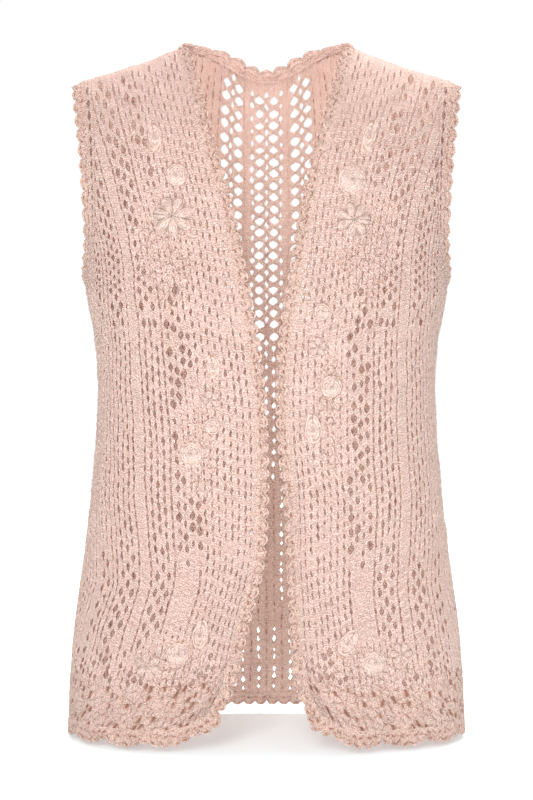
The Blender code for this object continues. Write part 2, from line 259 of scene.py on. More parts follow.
def unit(vectors):
    return vectors / np.maximum(np.linalg.norm(vectors, axis=-1, keepdims=True), 1e-9)


def steps_of(points):
    """The lengths of the steps between the points of a line."""
    return np.linalg.norm(np.diff(points, axis=0), axis=-1)


def outward(part, turn, height):
    """The direction out of the cloth."""
    along = form(part, turn + 0.0005, height) - form(part, turn - 0.0005, height)
    up = form(part, turn, height + 0.5) - form(part, turn, height - 0.5)
    normal = unit(np.cross(along, up))
    spine = np.stack((0 * turn, 0 * turn, height - SHOULDER_FALL), axis=-1)
    facing = np.sum(normal * (form(part, turn, height) - spine), axis=-1, keepdims=True)
    return np.where(facing > 0, normal, -normal)


def placed(part, turn, height):
    return form(part, turn, height), outward(part, turn, height)


def side_edge(share):
    """The outer edge of a half panel, down the armhole and then the side seam, as (turn, height)."""
    top = seam_height(SHOULDER_TIP)
    hole = np.minimum(share / UNDERARM_SHARE, 1) * np.pi / 2
    down = np.maximum(share - UNDERARM_SHARE, 0) / (1 - UNDERARM_SHARE)
    height = top + (UNDERARM - top) * np.sin(hole) + (HEM - UNDERARM) * down
    return turn_at(SHOULDER_TIP, top) * np.cos(hole), height


def shoulder_edge(share):
    """The shoulder seam, from the armhole (0) to the neck (1)."""
    x = SHOULDER_TIP + (NECK_HALF - SHOULDER_TIP) * share
    return turn_at(x, seam_height(x)), seam_height(x)


def front_edge(part, share):
    """The neck and front edge, from the shoulder seam to the rounded corner at the hem."""
    height = (HEM + CORNER_LIFT) * share
    return turn_at(from_table(FRONT_EDGES, part, height), height), height


def front_hem(part, share):
    """The hem of one front, from the side seam to the rounded corner."""
    corner, _ = front_edge(part, 1.0)
    return corner * share, HEM + CORNER_LIFT * share**CORNER_POWER


def patch(outer, inner, top, bottom, across, down):
    """(turn, height) all over a panel, from the functions of its four edges."""
    corners = [[edge(np.float64(share)) for share in (0, 1)] for edge in (outer, inner)]
    values = []
    for k in (0, 1):
        blend = (1 - across) * outer(down)[k] + across * inner(down)[k]
        blend = blend + (1 - down) * top(across)[k] + down * bottom(across)[k]
        for edge, share in ((0, 1 - across), (1, across)):
            blend = blend - share * ((1 - down) * corners[edge][0][k] + down * corners[edge][1][k])
        values.append(blend)
    return values


Panel = namedtuple("Panel", "points normals width area")
GRID_ACROSS, GRID_DOWN = 140, 320
LENGTH = 612.0  # along a panel from shoulder to hem, which turns a share of its rows into millimetres


def lay_panel(part, inner, top, bottom, seam_columns=1.0):
    """A half panel as a table of points and normals: rows down it, and steps of 1 mm across from the centre.
    Near the side seam it keeps off it, and off the shoulder seam, the seam_columns share of its top."""
    down, across = np.meshgrid(np.linspace(0, 1, GRID_DOWN), np.linspace(1, 0, GRID_ACROSS), indexing="ij")
    turn, height = patch(side_edge, inner, top, bottom, across, down)
    points, normals = placed(part, turn, height)
    at_seam = (SEAM_GAP / 2 + SHOULDER_LEAN) * np.clip(1 - 20 * down, 0, 1) * (across <= seam_columns)
    shift = np.maximum(at_seam, SEAM_GAP / 2 * np.clip(1 - 10 * across, 0, 1))
    points[..., 1] += shift if part == "back" else -shift
    steps = np.linalg.norm(np.diff(points, axis=1), axis=-1)
    run = np.concatenate((np.zeros((GRID_DOWN, 1)), np.cumsum(steps, axis=1)), axis=1)
    width = run[:, -1]
    reach = np.arange(math.ceil(width.max()) + 2)
    table = np.empty((GRID_DOWN, len(reach), 6))
    for row in range(GRID_DOWN):
        for axis in range(3):
            table[row, :, axis] = np.interp(reach, run[row], points[row, :, axis])
            table[row, :, axis + 3] = np.interp(reach, run[row], normals[row, :, axis])
    area = float(np.sum(width) * LENGTH / GRID_DOWN) * MM * MM
    return Panel(table[..., :3], table[..., 3:], width, area)


def on_panel(panel, across, along):
    """Points and normals at distances across from the centre edge and along from the shoulder."""
    row = np.clip(along / LENGTH, 0, 1) * (GRID_DOWN - 1)
    column = np.clip(across, 0, panel.points.shape[1] - 1.001)
    i = np.minimum(row.astype(int), GRID_DOWN - 2)
    k = column.astype(int)
    v, u = (row - i)[..., None], (column - k)[..., None]
    result = []
    for table in (panel.points, panel.normals):
        upper = table[i, k] * (1 - u) + table[i, k + 1] * u
        lower = table[i + 1, k] * (1 - u) + table[i + 1, k + 1] * u
        result.append(upper * (1 - v) + lower * v)
    return result[0], unit(result[1])


# A rib of crochet, as places across it from side to side and back underneath. Where a side joins the next rib
# it is level. At the edge of a hole it turns down under a raised strand. Its tones are painted light: a
# painted highlight on the raised strand, and painted shade in dark rust on the turned-down edge.
Strand = namedtuple("Strand", "across joined_lift open_lift joined_tone open_tone")
OUTER_RIB = [Strand(*row) for row in (
    (-1.00, 0.90, 0.05, 0.50, -0.25),
    (-0.80, 0.92, 1.14, 0.55, 1.00),
    (-0.45, 0.93, 1.02, 0.58, 0.80),
    (0.00, 0.92, 0.86, 0.58, 0.55),
    (0.45, 0.93, 1.02, 0.58, 0.80),
    (0.80, 0.92, 1.14, 0.55, 1.00),
    (1.00, 0.90, 0.05, 0.50, -0.25),
    (0.55, -0.80, -0.80, 0.50, 0.50),
    (-0.55, -0.80, -0.80, 0.50, 0.50),
)]
RIB_HEIGHT = 1.25  # from the middle of the cloth to the top of a strand
LEAST_STRAND = 1.7  # width of the thinnest strand between two holes
ROW_PITCH = 8.0  # length of a group of rows, which swell together
ROW_RISE = 0.22  # how much they swell
ROW_LEAN = 2.4  # how far the stitches point down at a rib's sides
DENT = 0.7  # a groove deeper than this is a dent in the cloth, and the strands beside it dip too

# One side of a rib at places along it: where it lies, 1 at a hole's edge and 0 where joined, and its dip.
Side = namedtuple("Side", "across is_open groove")


def rib(surface, along, near, far, strands=OUTER_RIB, phase=0.0, swell=None, cloth=(0.0, 0.0)):
    """A closed rib of crochet between its two sides, with its place in the cloth's map and its tone of
    painted light and shade.
    """
    across, joined_lift, open_lift, joined_tone, open_tone = np.array(strands).T
    middle, half = (near.across + far.across) / 2, np.maximum((far.across - near.across) / 2, 0.05)
    half = np.where((near.is_open > 0) & (far.is_open > 0), np.maximum(half, LEAST_STRAND / 2), half)
    place = middle[:, None] + half[:, None] * across
    down = along[:, None] + 0 * place
    toward_far = np.clip(0.5 + across, 0, 1)
    is_open = near.is_open[:, None] * (1 - toward_far) + far.is_open[:, None] * toward_far
    dip = np.where(np.abs(across) == 1, 1.0, np.where(np.abs(across) == 0.8, 0.75, 0.0))
    groove = 0.0
    for side, on_side in ((near, across < 0), (far, across > 0)):
        depth = side.groove[:, None]
        groove = groove + (depth * dip + 2 * np.maximum(depth - DENT, 0) * (np.abs(across) == 0.45)) * on_side
    lift = joined_lift * (1 - is_open) + open_lift * is_open - groove * (1 - is_open)
    steps = steps_of(surface(middle, along)[0])
    worked_length = along[-1] - np.append(np.cumsum(steps[::-1])[::-1], 0.0)[:, None] + 0 * place
    crowd = np.minimum(np.gradient(worked_length[:, 0], along), 1.0)[:, None]  # nearer 0 where rows crowd
    wave = np.cos(2 * np.pi * (worked_length + phase + ROW_LEAN * np.abs(across)) / ROW_PITCH)
    top = joined_lift > 0
    height = lift * RIB_HEIGHT + np.where(top & (np.abs(across) < 1), ROW_RISE * wave, 0)
    if swell is not None:
        height = height + np.where(top, 1, 0.4) * swell(down, place) * crowd
    points, normals = surface(place, down)
    points = points + normals * (height * np.clip(half, 0.3, 1)[:, None])[..., None]
    # Painted light: the tone is lighter on each swelling row's crest, and grooves and dents are painted
    # darker as shade.
    tone = joined_tone * (1 - is_open) + open_tone * is_open + 0.08 * wave - groove * (1 - is_open)
    return points, np.stack((place + cloth[0], worked_length + cloth[1]), axis=-1), tone


def join_ribs(name, ribs, material, ring=False, worked=lambda across, along: 0 * across + 1):
    """One object from closed ribs, each an array of rings of points with its cloth map and its tone of
    painted light and shade.
    """
    points, faces, cloth_map, tones, start = [], [], [], [], 0
    for rings, cloth, tone in ribs:
        rows, count = rings.shape[:2]
        index = start + np.arange(rows * count).reshape(rows, count)
        after = np.roll(index, -1, axis=1)
        following = np.roll(index, -1, axis=0) if ring else index[1:]
        following_after = np.roll(following, -1, axis=1)
        last = rows if ring else rows - 1
        quads = np.stack((index[:last], following, following_after, after[:last]), axis=-1).reshape(-1, 4)
        if not ring:
            quads = np.concatenate((quads, end_faces(index[0][::-1]), end_faces(index[-1])))
        if signed_volume(rings.reshape(-1, 3), quads - start) < 0:
            quads = quads[:, ::-1]
        faces.append(quads)
        points.append(rings.reshape(-1, 3))
        cloth_map.append(cloth.reshape(-1, 2))
        tones.append(tone.reshape(-1))
        start += rows * count
    mesh = bpy.data.meshes.new(name)
    faces = np.concatenate(faces)
    vertices = np.concatenate(points) * MM
    triangles = faces[:, 2] == faces[:, 3]
    mesh.from_pydata(vertices.tolist(), [], [f[:3] if t else f for f, t in zip(faces.tolist(), triangles)])
    corner = np.empty(len(mesh.loops), int)
    mesh.loops.foreach_get("vertex_index", corner)
    cloth_layer = mesh.uv_layers.new(name="cloth")
    cloth_layer.data.foreach_set("uv", np.concatenate(cloth_map)[corner].astype(np.float32).ravel())
    for key, values in (("tone", np.concatenate(tones)), ("worked", worked(*np.concatenate(cloth_map).T))):
        layer = mesh.attributes.new(key, "FLOAT", "POINT")
        layer.data.foreach_set("value", np.asarray(values, np.float32))
    mesh.shade_smooth()
    mesh.set_sharp_from_angle(angle=math.radians(62))
    piece = bpy.data.objects.new(name, mesh)
    bpy.context.collection.objects.link(piece)
    mesh.materials.append(material)
    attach(piece, "root")
    return piece


def end_faces(ring):
    """The end of a rib, as a fan of triangles written as quads whose last corner repeats."""
    return np.array([(ring[0], ring[k], ring[k + 1], ring[k + 1]) for k in range(1, len(ring) - 1)])


def signed_volume(points, quads):
    a, b, c, d = (points[quads[:, k]] for k in range(4))
    return np.sum(a * np.cross(b, c)) + np.sum(a * np.cross(c, d))


# Kinds of hole, each a column down the cloth: pitch along it, length, width, roundness, slant, how much wider
# one end is than the other, how irregular they are, how deep the groove between two holes is, and, for a hole
# that the yarn almost closes, how deep it is as a dent. Grooves and dents are painted darker by their depth,
# as painted shade.
Hole = namedtuple("Hole", "pitch length width power slant skew wild groove dent", defaults=(0.0,))
HOLES = {name: Hole(*row) for name, *row in (
    ("none", 8.0, 0.0, 0.0, 2.0, 0.0, 0.0, 0.0, 0.02),
    ("fine", 8.0, 4.4, 1.5, 2.0, 0.0, 0.2, 0.30, 0.12),
    ("slit", 8.6, 5.6, 2.1, 2.2, 0.0, 0.1, 0.20, 0.30),
    ("dense", 10.6, 5.6, 1.9, 1.7, 0.20, 0.4, 0.45, 0.06),
    ("net", 15.2, 7.8, 4.6, 1.6, 0.0, 0.6, 0.20, 0.06),
    ("long", 10.4, 7.4, 2.9, 1.7, 0.0, 0.5, 0.35, 0.06),
    ("wide", 12.5, 7.2, 4.8, 1.6, 0.15, 0.5, 0.60, 0.06),
    ("dot", 7.4, 2.4, 1.8, 1.8, 0.30, 0.3, 0.70, 0.04),
    ("bloom", 9.2, 6.0, 4.8, 1.5, 0.35, 0.7, 0.80, 0.05),
    ("shut", 8.8, 5.6, 3.6, 1.6, 0.35, 0.9, 0.80, 0.04, 1.0),
    ("rung", 8.2, 4.6, 4.0, 2.0, 0.20, 0.1, 0.15, 0.10),
    ("dash", 9.0, 4.6, 2.0, 2.0, 0.0, 0.2, 0.40, 0.04, 0.8),
    ("eyelet", 11.6, 6.4, 9.0, 2.4, 0.0, 0.15, 0.14, 0.03),
    ("small", 11.6, 4.4, 4.6, 2.0, 0.0, 0.2, 0.30, 0.03),
    ("speck", 9.5, 3.4, 3.2, 2.0, 0.3, 0.0, 0.6, 0.30),
    ("edging", 6.8, 3.6, 1.6, 2.0, 0.0, 0.0, 0.6, 0.06, 0.78),
)}

# The kinds of hole in each column of a front, from the centre edge outwards, in four zones down it.
Column = namedtuple("Column", "first last chest waist skirt hem", defaults=("bloom",))
FRONT_COLUMNS = [Column(*row) for row in (
    (0, 0, "none", "none", "none", "none"),
    (1, 8, "dense", "dense", "dense"),
    (9, 9, "dense", "wide", "slit"),
    (10, 11, "wide", "wide", "none"),
    (12, 12, "dense", "wide", "none"),
    (13, 13, "slit", "slit", "slit"),
    (14, 16, "net", "long", "net"),
    (17, 17, "slit", "slit", "slit"),
    (18, 18, "none", "none", "none"),
    (19, 19, "fine", "slit", "slit"),
    (20, 22, "net", "long", "net"),
    (23, 24, "slit", "slit", "slit"),
    (25, 26, "net", "long", "net"),
    (27, 27, "fine", "none", "none"),
    (28, 28, "slit", "slit", "slit"),
    (29, 30, "fine", "fine", "slit"),
    (31, 32, "net", "long", "net"),
    (33, 34, "slit", "slit", "slit"),
    (35, 60, "fine", "fine", "fine"),
)]
FRONT_ZONES = (3.0, 245.0, 455.0, 545.0, 640.0)  # where the zones begin and end, along from the shoulder
BACK_ZONES = (3.0, 245.0, 390.0, 530.0, 640.0)
ZONE_SWAY, SWAY_TURN = 12.0, 2.4  # how far the zones of neighbouring columns reach into each other
GOLDEN = 0.618  # the share of a pitch by which irregular columns are staggered
# Below SHUT_BELOW, a front's holes become dents painted with the dark shade of a hole.
SHUT_BELOW = 570.0  # past this the fronts' holes are almost closed, and every fourth is left out
FRONT_PITCH = ((0, 5.3), (180, 5.5), (300, 6.3), (400, 6.3), (480, 5.8), (620, 6.6))  # along, column spacing

# Close grounds under the raised flowers, as ovals on a front, placed from its centre edge and the shoulder.
Ground = namedtuple("Ground", "hand across along half_width half_length")
GROUNDS = [Ground(*row) for row in (
    ("right", 62, 160, 34, 58),
    ("left", 60, 158, 34, 60),
    ("right", 52, 345, 17, 62),
    ("left", 40, 310, 17, 75),
    ("right", 62, 545, 40, 30),
    ("left", 70, 548, 44, 26),
)]


def on_ground(hand, across, along):
    """How far inside the nearest flower ground a place is: 1 in its middle, 0 outside."""
    reach = [
        np.hypot((across - ground.across) / ground.half_width, (along - ground.along) / ground.half_length)
        for ground in GROUNDS
        if ground.hand == hand
    ]
    return np.clip((1 - np.min(reach, axis=0)) * 3, 0, 1) if reach else 0 * across


def hole_row(kind, middle, chance):
    """One hole of a kind: middle, half length, half width, roundness, slant, skew, groove beside it, dent."""
    size = 1 + kind.wild * chance.uniform(-1, 0.5)
    shift = kind.pitch * 0.3 * kind.wild * chance.uniform(-1, 1)
    slant = kind.slant * (1 if kind.wild < 0.5 else chance.uniform(-1.5, 1.5))
    skew = kind.skew * chance.uniform(-1, 1)
    half_length, half_width = kind.length / 2 * size**0.5, kind.width / 2 * size
    dent = kind.dent * min(size, 1)
    return middle + shift, half_length, half_width, kind.power, slant, skew, kind.groove, dent


def holes_down(columns, number, chance, spacing=6.0, hand=None):
    """The holes of one column, in order down it."""
    row = next(column for column in columns if column.first <= number <= column.last)
    zones = np.array(FRONT_ZONES if hand else BACK_ZONES)
    zones[1:-1] += ZONE_SWAY * math.sin(SWAY_TURN * number)
    holes = []
    for zone, top, bottom in zip((row.chest, row.waist, row.skirt, row.hem), zones[:-1], zones[1:]):
        kind = HOLES[zone]
        for ground_kind, wanted in ((kind, False), (HOLES["dot"], True)):
            stagger = number * GOLDEN % 1 if ground_kind.wild > 0.3 else 0.5 * (number % 2)
            for k in range(int(top / ground_kind.pitch) - 1, int(bottom / ground_kind.pitch) + 2):
                middle = (k + stagger) * ground_kind.pitch
                inside = on_ground(hand, number * spacing, middle) > 0.3
                fits = top + ground_kind.length / 2 <= middle <= bottom - ground_kind.length / 2
                shut = hand is not None and middle > SHUT_BELOW and kind.width
                if fits and inside == wanted and not (shut and (7 * number + 5 * k) % 4 == 0):
                    holes.append(hole_row(HOLES["shut"] if shut else ground_kind, middle, chance))
    return np.array(sorted(holes) or [(-99, 1, 0, 2, 0, 0, 0, 0)]).T


def opening(holes, along):
    """Half the width of a column's holes at places along it, their lean, how open it is, and its groove."""
    nearest = np.searchsorted((holes[0, 1:] + holes[0, :-1]) / 2, along)
    middle, half_length, half_width, power, slant, skew, groove, dent = holes[:, nearest]
    signed = np.clip((along - middle) / np.maximum(half_length, 0.1), -1, 1)
    half = half_width * (1 - np.abs(signed) ** power) ** (1 / power) * (1 + skew * signed)
    lean = slant * (along - middle) * (np.abs(signed) < 1)
    inside, is_dent = np.clip(half / 0.4, 0, 1), dent > 0
    depth = np.where(is_dent, np.maximum(groove, dent * inside), groove)
    return np.where(is_dent, 0, half), lean, np.where(is_dent, 0, inside), depth


# Twisted cotton, worked close. Where flowers are worked in, the stitches run in rings round each flower's
# eye, with a stitch hole here and there between two rings, painted dark as its shade. Stitch tops have a
# painted highlight and the gaps between them painted shade in a deeper pink, with random flecks of the yarn's
# own tone, and thin cotton lets some light through.
STITCH = 2.4  # spacing of the stitches
EYE_SPACING = 9.5  # between the eyes of the small flowers that are worked into the cloth
SHAKE = (3.0, 3.0, 0.0)  # how far the rows of stitches wander
PIT_SHADE = "#A5705B"  # painted shade of a stitch hole: the dark rust painted on hole edges and dents


def crochet_cotton(name, pale, deep, rings=1.0, slope=1.1, thin=0.2, through="#F6CBB8"):
    """Crocheted cotton. rings is how much of it runs round flower eyes, slope leans the rows of stitches, and
    thin is the share of the light that goes through the yarn, whose colour then tints through."""
    cotton = bpy.data.materials.new(name)
    cotton.use_nodes = True
    nodes = cotton.node_tree.nodes
    add = partial(add_node, cotton.node_tree)
    times, times_plus = {"operation": "MULTIPLY"}, {"operation": "MULTIPLY_ADD"}
    flat, coloured = {"noise_dimensions": "2D"}, {"data_type": "RGBA"}
    cloth = add("UVMap", {"uv_map": "cloth"})["UV"]
    shake = add("TexNoise", flat, Vector=cloth, Scale=0.22, Detail=1.0)["Color"]
    shaken = add("VectorMath", times_plus, i0=shake, i1=SHAKE, i2=cloth)[0]
    place = add("SeparateXYZ", i0=shaken)
    leaning = add("Math", times, i0=place["X"], i1=slope)[0]
    up_rib = add("Math", times_plus, i0=place["Y"], i1=2 * math.pi / STITCH, i2=leaning)[0]
    eye, gap = (
        add("TexVoronoi", {"voronoi_dimensions": "2D", "feature": f}, Vector=shaken, Scale=1 / EYE_SPACING)
        for f in ("F1", "DISTANCE_TO_EDGE")
    )
    round_eye = add("Math", times, i0=eye["Distance"], i1=2 * math.pi * EYE_SPACING / STITCH)[0]
    worked = add("Attribute", {"attribute_name": "worked"})["Fac"]
    ringed = add("Math", times, i0=worked, i1=rings)[0]
    rows = [add("Math", {"operation": "SINE"}, i0=phase)[0] for phase in (up_rib, round_eye)]
    stitches = add("Mix", {"data_type": "FLOAT"}, i0=ringed, i2=rows[0], i3=rows[1])[0]
    speck = add("TexNoise", flat, Vector=cloth, Scale=0.75, Detail=2.0)["Fac"]
    cloud = add("TexNoise", flat, Vector=cloth, Scale=0.05, Detail=3.0)["Fac"]
    # Painted shade: dark stitch holes at the borders between flower rings, which also dent the bump.
    between = add("MapRange", i0=gap["Distance"], i2=0.11, i3=1.0, i4=0.0)[0]
    between = add("Math", times, i0=between, i1=ringed)[0]
    tone = add("Attribute", {"attribute_name": "tone"})["Fac"]
    shade = add("Math", times, i0=tone, i1=0.75)[0]
    # The stitch rows add a painted highlight on stitch tops. Speck and cloud are the yarn's random flecks.
    for part, weight in ((stitches, 0.20), (speck, 2.0), (cloud, 0.35), (between, -0.35)):
        shade = add("Math", times_plus, i0=part, i1=weight, i2=shade)[0]
    shade = add("MapRange", i0=shade, i1=1.00, i2=2.05)[0]
    colour = add("Mix", coloured, i0=shade, i6=linear(deep), i7=linear(pale))[2]
    # Painted shade: where the tone falls below 0.1, at hole edges and dents, the colour turns to the dark
    # rust of a shaded hole.
    pit_shade = add("MapRange", i0=tone, i1=0.1, i2=-0.35)[0]
    colour = add("Mix", coloured, i0=pit_shade, i6=colour, i7=linear(PIT_SHADE))[2]
    relief = add("Math", times, i0=speck, i1=1.6)[0]
    for part, weight in ((stitches, 0.55), (between, -1.2)):
        relief = add("Math", times_plus, i0=part, i1=weight, i2=relief)[0]
    raised = add("Bump", Strength=0.9, Distance=0.0008, Height=relief)[0]
    yarn = nodes["Principled BSDF"]
    add(
        yarn, Base_Color=colour, Normal=raised, Roughness=0.85, IOR=1.53, Specular_IOR_Level=0.2,
        Sheen_Weight=0.12, Sheen_Roughness=0.5, Sheen_Tint=linear("#FFF0EA"),
    )
    tinted = add("Mix", {**coloured, "blend_type": "MULTIPLY"}, i0=1.0, i6=colour, i7=linear(through))[2]
    passed = add("BsdfTranslucent", Color=tinted, Normal=raised)[0]
    add(nodes["Material Output"], Surface=add("MixShader", i0=thin, i1=yarn.outputs[0], i2=passed)[0])
    return cotton


mesh_cotton = crochet_cotton("blush_crochet_cotton", "#FCE1D6", "#C59B8A")
ALONG_STEP = 1.75  # spacing of points along a rib
CLOSE_COLUMNS = 8  # columns of the close band beside the front edge
BAND_WIDTH = 48.0  # and its width
SIDE_BAND = 7.0  # a plain band worked down the armhole and side edge
SIDE_SLITS = 3.6  # from that edge to the column of slits in the band
SIDE_GROOVE = 0.3  # dip where the ribs meet the band
DRIFT = 0.5  # how far a column of holes wanders
LEAST_RIB = 0.4  # ribs narrower than this are left out, or lapped over by the band


def wobble(chance, along, size):
    """Slow uneven drift of a rib, as in hand work."""
    waves = [chance.uniform(0, 2 * np.pi) for _ in range(3)]
    return size * sum(np.sin(along / length + wave) for length, wave in zip((9.0, 17.0, 31.0), waves)) / 1.7


def lumps(chance):
    """A gentle unevenness of the cloth's surface, as a function of places along and across."""
    terms = [(chance.uniform(0.08, 0.3), chance.uniform(0.1, 0.4), chance.uniform(0, 6.3)) for _ in range(7)]
    return lambda along, across: 0.16 * sum(np.sin(a * along + b * across + c) for a, b, c in terms)


def lace_ribs(surface, width, hand, columns, first, last, pitch, seed, strands=OUTER_RIB, step=ALONG_STEP):
    """The ribs between a panel's columns of holes, first to last, cut off at its side band."""
    chance = np.random.default_rng(seed)
    along = np.arange(0, LENGTH + step / 2, step)
    limit = np.interp(along, np.linspace(0, LENGTH, GRID_DOWN), width) - SIDE_BAND
    spacing = np.interp(along, *np.array(pitch).T)
    swell = lumps(chance)
    sides = []
    for number in range(0, last + 1):
        drift = wobble(chance, along, DRIFT) if number else 0 * along
        half, lean, is_open, groove = opening(
            holes_down(columns, number, chance, float(spacing.mean()), hand), along
        )
        sides.append((number * spacing + drift + lean, half, is_open, groove))
    ribs = []
    for number in range(first, last):
        (line, half, is_open, groove), (far_line, far_half, far_open, far_groove) = sides[number : number + 2]
        near, cut = Side(line + half, is_open, groove), far_line - far_half > limit
        far = Side(
            np.minimum(far_line - far_half, limit),
            np.where(cut, 0, far_open),
            np.where(cut, SIDE_GROOVE, far_groove),
        )
        inside = np.flatnonzero(near.across < limit - LEAST_RIB)
        for run in np.split(inside, np.flatnonzero(np.diff(inside) > 1) + 1):
            if len(run) < 3:
                continue
            cut_near, cut_far = (Side(*(values[run] for values in side)) for side in (near, far))
            phase = chance.uniform(0, ROW_PITCH)
            ribs.append(rib(surface, along[run], cut_near, cut_far, strands, phase, swell))
    return ribs


def side_ribs(surface, width, seed, strands=OUTER_RIB, step=ALONG_STEP):
    """Two ribs down the armhole and side edge, with a column of small slits between them."""
    chance = np.random.default_rng(seed + 100)
    along = np.arange(0, LENGTH + step / 2, step)
    edge = np.interp(along, np.linspace(0, LENGTH, GRID_DOWN), width)
    slits = holes_down((Column(0, 0, "rung", "slit", "slit", "slit"),), 0, chance)
    half, _, is_open, groove = opening(slits, along)
    shut, level = 0 * along, SIDE_GROOVE + 0 * along
    lapped = Side(edge - SIDE_BAND - LEAST_RIB, shut, level)
    inner = (lapped, Side(edge - SIDE_SLITS - half, is_open, groove))
    outer = (Side(edge - SIDE_SLITS + half, is_open, groove), Side(edge, shut, level))
    return [rib(surface, along, *sides, strands, ROW_PITCH / 2 * k) for k, sides in enumerate((inner, outer))]


def hang(piece, node, slot, flat, **more):
    """Hides the solid that a piece stands in for."""
    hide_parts(node)


fronts = {}
for hand, seed in (("right", 11), ("left", 23)):
    panel = lay_panel(hand, partial(front_edge, hand), shoulder_edge, partial(front_hem, hand))
    fronts[hand] = panel
    surface = partial(on_panel, panel)
    last = int(panel.width.max() / FRONT_PITCH[0][1]) + 2

    def floral(across, along):
        """1 where small flowers are worked into the cloth: on the grounds, and everywhere near the hem."""
        return np.clip(on_ground(hand, across, along) + np.clip((along - 540) / 20, 0, 1), 0, 1)

    close = join_ribs(
        f"front_{hand}_close_band",
        lace_ribs(surface, panel.width, hand, FRONT_COLUMNS, 0, CLOSE_COLUMNS, FRONT_PITCH, seed),
        mesh_cotton, worked=floral,
    )
    open_work = join_ribs(
        f"front_{hand}_open_work",
        lace_ribs(surface, panel.width, hand, FRONT_COLUMNS, CLOSE_COLUMNS, last, FRONT_PITCH, seed)
        + side_ribs(surface, panel.width, seed),
        mesh_cotton, worked=floral,
    )
    band, widest = BAND_WIDTH * MM, float(panel.width.max()) * MM
    hang(close, f"front_{hand}", "cotton_mesh", (band, LENGTH * MM))
    hang(
        open_work, f"front_{hand}", "cotton_mesh", (widest - band, LENGTH * MM),
        area=panel.area - band * LENGTH * MM, with_pieces=[close],
    )

# ---------------- back
# The back is one panel. Columns of round holes run down the upper part of its middle between close ribs, and
# the rest is close, with rows of small dashes, dents painted dark as the shade of a hole. Its two faces are
# alike, as its inside shows at the front.
BACK_NECK_DROP = 37.0
SEAM_SHARE = 0.4  # share of half the back's top that is shoulder seam
BACK_STEP = 2.1  # spacing of points along a rib
# Its tones are painted light: paler as a highlight on the raised strands, darker as shade at hole edges.
BACK_RIB = [Strand(*row) for row in (
    (-1.00, 0.84, 0.00, 0.50, 0.15),
    (-0.62, 0.90, 1.00, 0.58, 0.95),
    (0.00, 0.90, 0.80, 0.58, 0.60),
    (0.62, 0.90, 1.00, 0.58, 0.95),
    (1.00, 0.84, 0.00, 0.50, 0.15),
    (0.62, -0.88, -1.00, 0.58, 0.95),
    (0.00, -0.90, -0.80, 0.58, 0.60),
    (-0.62, -0.88, -1.00, 0.58, 0.95),
)]
BACK_COLUMNS = [Column(*row) for row in (
    (0, 0, "small", "small", "dash", "dash"),
    (1, 1, "eyelet", "small", "dash", "speck"),
    (2, 2, "small", "dash", "speck", "dash"),
    (3, 3, "none", "dash", "dash", "speck"),
    (4, 4, "eyelet", "dash", "dash", "speck"),
    (5, 5, "small", "dash", "dash", "dash"),
    (6, 6, "eyelet", "dash", "dash", "dash"),
    (7, 60, "dash", "dash", "dash", "dash"),
)]
BACK_PITCH = ((0, 7.0), (300, 7.0), (400, 7.1), (620, 7.9))


def back_top(share):
    """The top of half the back: along the shoulder seam, then down the neck to the centre."""
    seam_turn, seam_level = shoulder_edge(np.minimum(share / SEAM_SHARE, 1))
    x = NECK_HALF * (1 - np.maximum(share - SEAM_SHARE, 0) / (1 - SEAM_SHARE))
    to_seam = np.sin(np.pi / 2 * x / NECK_HALF) ** 2
    neck_level = -BACK_NECK_DROP * (1 - to_seam) + seam_height(NECK_HALF) * to_seam**2
    on_seam = share <= SEAM_SHARE
    return np.where(on_seam, seam_turn, turn_at(x, neck_level)), np.where(on_seam, seam_level, neck_level)


# The back is the same cotton painted paler than the fronts, as painted light on its inside, which the lamps
# reach less.
back_cotton = crochet_cotton(
    "blush_back_cotton", "#FFEEE6", "#DABCB0", rings=0.0, thin=0.55, through="#FFFFFF"
)
back_panel = lay_panel(
    "back",
    lambda share: (np.pi / 2 + 0 * share, -BACK_NECK_DROP + (HEM + BACK_NECK_DROP) * share),
    back_top,
    lambda share: (np.pi / 2 * share, HEM + 0 * share),
    seam_columns=SEAM_SHARE,
)
FLIP = np.array((-1.0, 1.0, 1.0))  # to the other side of the centre line
for hand, flip, seed in (("left", 1.0, 31), ("right", FLIP, 37)):

    def surface(across, along):
        points, normals = on_panel(back_panel, across, along)
        return points * flip, normals * flip

    last = int(back_panel.width.max() / BACK_PITCH[0][1]) + 2
    half_back = join_ribs(
        f"back_{hand}_half",
        lace_ribs(
            surface, back_panel.width, None, BACK_COLUMNS, 0, last, BACK_PITCH, seed, BACK_RIB, BACK_STEP
        )
        + side_ribs(surface, back_panel.width, seed, BACK_RIB, BACK_STEP),
        back_cotton,
    )
    widest = float(back_panel.width.max()) * MM
    hang(half_back, "back", "cotton_mesh", (widest, LENGTH * MM), area=back_panel.area)

# ---------------- scalloped edgings
# Edgings of shell stitches are worked on to the front edges and hem, the back neck, the back hem and round
# each armhole. Each shell fans out from the edge and ends in a rounded scallop.
# The same cotton painted a little darker than the panels, as painted shade for the darker hem.
edging_cotton = crochet_cotton("blush_edging_cotton", "#F9DED2", "#BD917F", rings=0.6)
# The back's edging is painted paler in the same way, as painted light.
back_edging_cotton = crochet_cotton(
    "blush_back_edging_cotton", "#FFF0E9", "#E0C3B7", rings=0.6, thin=0.5, through="#FFFFFF"
)
EDGING_STEP = 1.25  # spacing of points along an edging
OVERLAP = 1.2  # how far an edging's first round laps over the panel's edge stitches
RIM = 2.3  # width of the cord of stitches round each scallop
LEAST_SHELL = 1.2  # between the last round and the rim, at the tapered ends
HOLE_SHIFT = 2.6  # how far the stitch holes of one round lie past those of the round before
SWING = 0.4  # the share of the profile that the rounds follow

Line = namedtuple("Line", "points normals away length")


